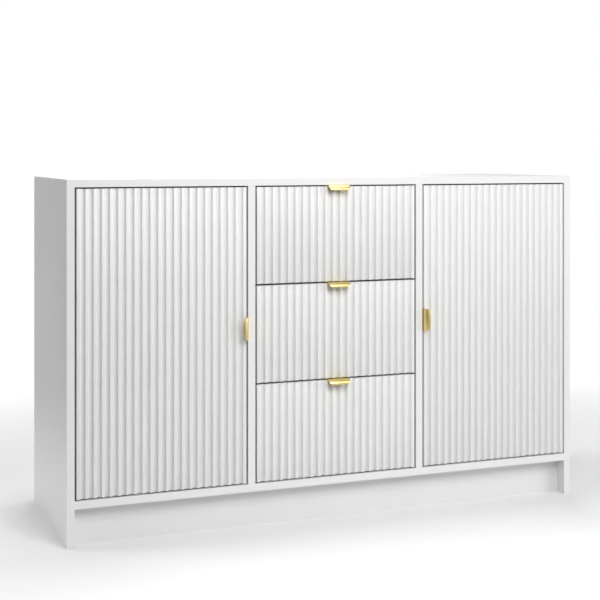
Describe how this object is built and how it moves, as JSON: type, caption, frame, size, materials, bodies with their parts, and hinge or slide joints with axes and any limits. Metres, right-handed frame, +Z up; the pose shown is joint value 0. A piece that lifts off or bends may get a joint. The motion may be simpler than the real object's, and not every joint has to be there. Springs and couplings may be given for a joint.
{
  "type": "sideboard",
  "caption": "White sideboard with upright-fluted inset fronts, a hinged cupboard at each end, stacked drawers between them, brass edge pulls and a recessed plinth.",
  "frame": {"origin": "on the floor, at the middle of the bounding box of the cabinet with its handles", "axes": "+X along the width, to the right seen from the front; +Y from the fronts to the back; +Z up"},
  "size_m": [1.19, 0.412, 0.75],
  "materials": {
    "white_board": "white satin melamine on chipboard",
    "fluted_front": "white satin film on milled fibreboard",
    "white_hardboard": "white lacquered hardboard",
    "drawer_board": "white matt foil on chipboard",
    "satin_brass": "satin, lightly brushed",
    "zinc_plated_steel": "bright zinc plated",
    "white_plastic": "matt white",
    "beech_dowel": "raw beech"
  },
  "bodies": {
    "carcass": {"top_panel": "white_board", "left_side_panel": "white_board", "right_side_panel": "white_board", "bottom_panel": "white_board", "left_divider": "white_board", "right_divider": "white_board", "front_plinth": "white_board", "rear_plinth": "white_board", "left_back_panel": "white_hardboard", "centre_back_panel": "white_hardboard", "right_back_panel": "white_hardboard", "back_joining_strips": "white_plastic", "left_shelf": "white_board", "right_shelf": "white_board", "shelf_pins": "zinc_plated_steel", "cam_locks_and_bolts": "zinc_plated_steel", "wood_dowels": "beech_dowel", "hinge_mounting_plates": "zinc_plated_steel", "hinge_arms": "zinc_plated_steel", "slide_cabinet_members": "zinc_plated_steel", "cabinet_hardware_screws": "zinc_plated_steel"},
    "left_door": {"left_door": "fluted_front", "left_door_handle": "satin_brass", "left_hinge_cups": "zinc_plated_steel", "left_door_screws": "zinc_plated_steel"},
    "left_hinge_link": {"left_hinge_links": "zinc_plated_steel"},
    "right_door": {"right_door": "fluted_front", "right_door_handle": "satin_brass", "right_hinge_cups": "zinc_plated_steel", "right_door_screws": "zinc_plated_steel"},
    "right_hinge_link": {"right_hinge_links": "zinc_plated_steel"},
    "top_drawer": {"top_drawer_front": "fluted_front", "top_drawer_left_side": "drawer_board", "top_drawer_right_side": "drawer_board", "top_drawer_back": "drawer_board", "top_drawer_bottom": "white_hardboard", "top_drawer_handle": "satin_brass", "top_drawer_slide_members": "zinc_plated_steel", "top_drawer_screws": "zinc_plated_steel"},
    "top_drawer_middle_slides": {"top_drawer_middle_slide_members": "zinc_plated_steel"},
    "middle_drawer": {"middle_drawer_front": "fluted_front", "middle_drawer_left_side": "drawer_board", "middle_drawer_right_side": "drawer_board", "middle_drawer_back": "drawer_board", "middle_drawer_bottom": "white_hardboard", "middle_drawer_handle": "satin_brass", "middle_drawer_slide_members": "zinc_plated_steel", "middle_drawer_screws": "zinc_plated_steel"},
    "middle_drawer_middle_slides": {"middle_drawer_middle_slide_members": "zinc_plated_steel"},
    "bottom_drawer": {"bottom_drawer_front": "fluted_front", "bottom_drawer_left_side": "drawer_board", "bottom_drawer_right_side": "drawer_board", "bottom_drawer_back": "drawer_board", "bottom_drawer_bottom": "white_hardboard", "bottom_drawer_handle": "satin_brass", "bottom_drawer_slide_members": "zinc_plated_steel", "bottom_drawer_screws": "zinc_plated_steel"},
    "bottom_drawer_middle_slides": {"bottom_drawer_middle_slide_members": "zinc_plated_steel"}
  },
  "joints": [
    {"name": "left_hinge_link_turn", "type": "hinge", "parent": "carcass", "child": "left_hinge_link", "pos_m": [-0.549, -0.1715, 0.415], "axis": [0, 0, 1], "range_deg": [0, 20]},
    {"name": "left_door_swing", "type": "hinge", "parent": "left_hinge_link", "child": "left_door", "pos_m": [-0.567, -0.179, 0.415], "axis": [0, 0, -1], "range_deg": [0, 115]},
    {"name": "right_hinge_link_turn", "type": "hinge", "parent": "carcass", "child": "right_hinge_link", "pos_m": [0.549, -0.1715, 0.415], "axis": [0, 0, -1], "range_deg": [0, 20]},
    {"name": "right_door_swing", "type": "hinge", "parent": "right_hinge_link", "child": "right_door", "pos_m": [0.567, -0.179, 0.415], "axis": [0, 0, 1], "range_deg": [0, 115]},
    {"name": "top_drawer_pull", "type": "slide", "parent": "carcass", "child": "top_drawer", "axis": [0, -1, 0], "range_m": [0, 0.34]},
    {"name": "top_drawer_middle_slide", "type": "slide", "parent": "carcass", "child": "top_drawer_middle_slides", "axis": [0, -1, 0], "range_m": [0, 0.17]},
    {"name": "middle_drawer_pull", "type": "slide", "parent": "carcass", "child": "middle_drawer", "axis": [0, -1, 0], "range_m": [0, 0.34]},
    {"name": "middle_drawer_middle_slide", "type": "slide", "parent": "carcass", "child": "middle_drawer_middle_slides", "axis": [0, -1, 0], "range_m": [0, 0.17]},
    {"name": "bottom_drawer_pull", "type": "slide", "parent": "carcass", "child": "bottom_drawer", "axis": [0, -1, 0], "range_m": [0, 0.34]},
    {"name": "bottom_drawer_middle_slide", "type": "slide", "parent": "carcass", "child": "bottom_drawer_middle_slides", "axis": [0, -1, 0], "range_m": [0, 0.17]}
  ],
  "couplings": [
    {"joint": "left_hinge_link_turn", "follows": "left_door_swing", "ratio": 0.1739},
    {"joint": "right_hinge_link_turn", "follows": "right_door_swing", "ratio": 0.1739},
    {"joint": "top_drawer_middle_slide", "follows": "top_drawer_pull", "ratio": 0.5},
    {"joint": "middle_drawer_middle_slide", "follows": "middle_drawer_pull", "ratio": 0.5},
    {"joint": "bottom_drawer_middle_slide", "follows": "bottom_drawer_pull", "ratio": 0.5}
  ]
}
